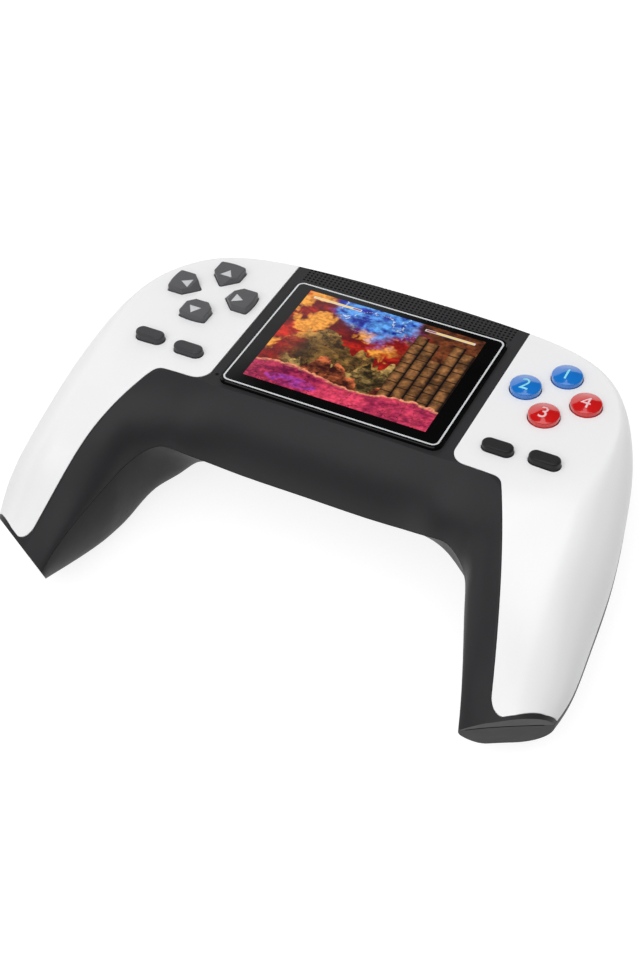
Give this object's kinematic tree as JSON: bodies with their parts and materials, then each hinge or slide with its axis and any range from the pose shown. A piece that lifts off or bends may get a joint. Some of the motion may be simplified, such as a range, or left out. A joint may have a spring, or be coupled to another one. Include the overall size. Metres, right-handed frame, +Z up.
{
  "type": "handheld game console",
  "caption": "Handheld game console with drooping grips, a colour screen in the middle, direction keys on the left and round buttons on the right.",
  "frame": {"origin": "centre of the bounding box, at its base", "axes": "+X to the player's right, +Y away from the player, +Z up, with the console lying on both grips and the rear edge of its belly"},
  "size_m": [0.1948, 0.1328, 0.0506],
  "materials": {
    "black_shell": "satin",
    "white_panel": "gloss",
    "grey_shell": "fine grain",
    "screen_glass": "polished, dark border",
    "display": "gloss",
    "grey_tray": "matte",
    "amber_film": "satin",
    "board_green": "solder mask",
    "black_compound": "matte",
    "clear_pin": "clear",
    "key_rubber": "matte",
    "bare_steel": "plated",
    "battery_sleeve": "shrink sleeve",
    "key_dark": "satin",
    "key_blue": "gloss",
    "key_red": "gloss"
  },
  "bodies": {
    "housing": {"front_shell": "black_shell", "left_wing": "white_panel", "right_wing": "white_panel", "rear_shell": "grey_shell", "battery_door": "grey_shell", "screen_glass": "screen_glass", "display_panel": "display", "display_bracket": "grey_tray", "display_ribbon": "amber_film", "main_board": "board_green", "main_chip": "black_compound", "board_components": "black_compound", "light_pipe": "clear_pin", "left_key_sheet": "key_rubber", "right_key_sheet": "key_rubber", "speaker": "grey_tray", "charge_port": "bare_steel", "av_jack": "black_compound", "power_switch": "bare_steel", "battery": "battery_sleeve", "battery_contacts": "bare_steel", "case_screws": "bare_steel", "door_screw": "bare_steel"},
    "dpad_up": {"dpad_up": "key_dark"},
    "dpad_left": {"dpad_left": "key_dark"},
    "dpad_down": {"dpad_down": "key_dark"},
    "dpad_right": {"dpad_right": "key_dark"},
    "action_top": {"action_top": "key_blue"},
    "action_left": {"action_left": "key_blue"},
    "action_bottom": {"action_bottom": "key_red"},
    "action_right": {"action_right": "key_red"},
    "volume_key": {"volume_key": "key_dark"},
    "reset_key": {"reset_key": "key_dark"},
    "select_key": {"select_key": "key_dark"},
    "start_key": {"start_key": "key_dark"},
    "power_knob": {"power_knob": "key_dark"}
  },
  "joints": [
    {"name": "dpad_up_press", "type": "slide", "parent": "housing", "child": "dpad_up", "axis": [0, -0.3238, -0.9461], "range_m": [0, 0.0012], "stiffness_N_per_m": 700},
    {"name": "dpad_left_press", "type": "slide", "parent": "housing", "child": "dpad_left", "axis": [0, -0.3238, -0.9461], "range_m": [0, 0.0012], "stiffness_N_per_m": 700},
    {"name": "dpad_down_press", "type": "slide", "parent": "housing", "child": "dpad_down", "axis": [0, -0.3238, -0.9461], "range_m": [0, 0.0012], "stiffness_N_per_m": 700},
    {"name": "dpad_right_press", "type": "slide", "parent": "housing", "child": "dpad_right", "axis": [0, -0.3238, -0.9461], "range_m": [0, 0.0012], "stiffness_N_per_m": 700},
    {"name": "action_top_press", "type": "slide", "parent": "housing", "child": "action_top", "axis": [0, -0.3238, -0.9461], "range_m": [0, 0.0012], "stiffness_N_per_m": 700},
    {"name": "action_left_press", "type": "slide", "parent": "housing", "child": "action_left", "axis": [0, -0.3238, -0.9461], "range_m": [0, 0.0012], "stiffness_N_per_m": 700},
    {"name": "action_bottom_press", "type": "slide", "parent": "housing", "child": "action_bottom", "axis": [0, -0.3238, -0.9461], "range_m": [0, 0.0012], "stiffness_N_per_m": 700},
    {"name": "action_right_press", "type": "slide", "parent": "housing", "child": "action_right", "axis": [0, -0.3238, -0.9461], "range_m": [0, 0.0012], "stiffness_N_per_m": 700},
    {"name": "volume_key_press", "type": "slide", "parent": "housing", "child": "volume_key", "axis": [0, -0.3238, -0.9461], "range_m": [0, 0.0012], "stiffness_N_per_m": 700},
    {"name": "reset_key_press", "type": "slide", "parent": "housing", "child": "reset_key", "axis": [0, -0.3238, -0.9461], "range_m": [0, 0.0012], "stiffness_N_per_m": 700},
    {"name": "select_key_press", "type": "slide", "parent": "housing", "child": "select_key", "axis": [0, -0.3238, -0.9461], "range_m": [0, 0.0012], "stiffness_N_per_m": 700},
    {"name": "start_key_press", "type": "slide", "parent": "housing", "child": "start_key", "axis": [0, -0.3238, -0.9461], "range_m": [0, 0.0012], "stiffness_N_per_m": 700},
    {"name": "power_slide", "type": "slide", "parent": "housing", "child": "power_knob", "axis": [1, 0, 0], "range_m": [0, 0.0024]}
  ]
}
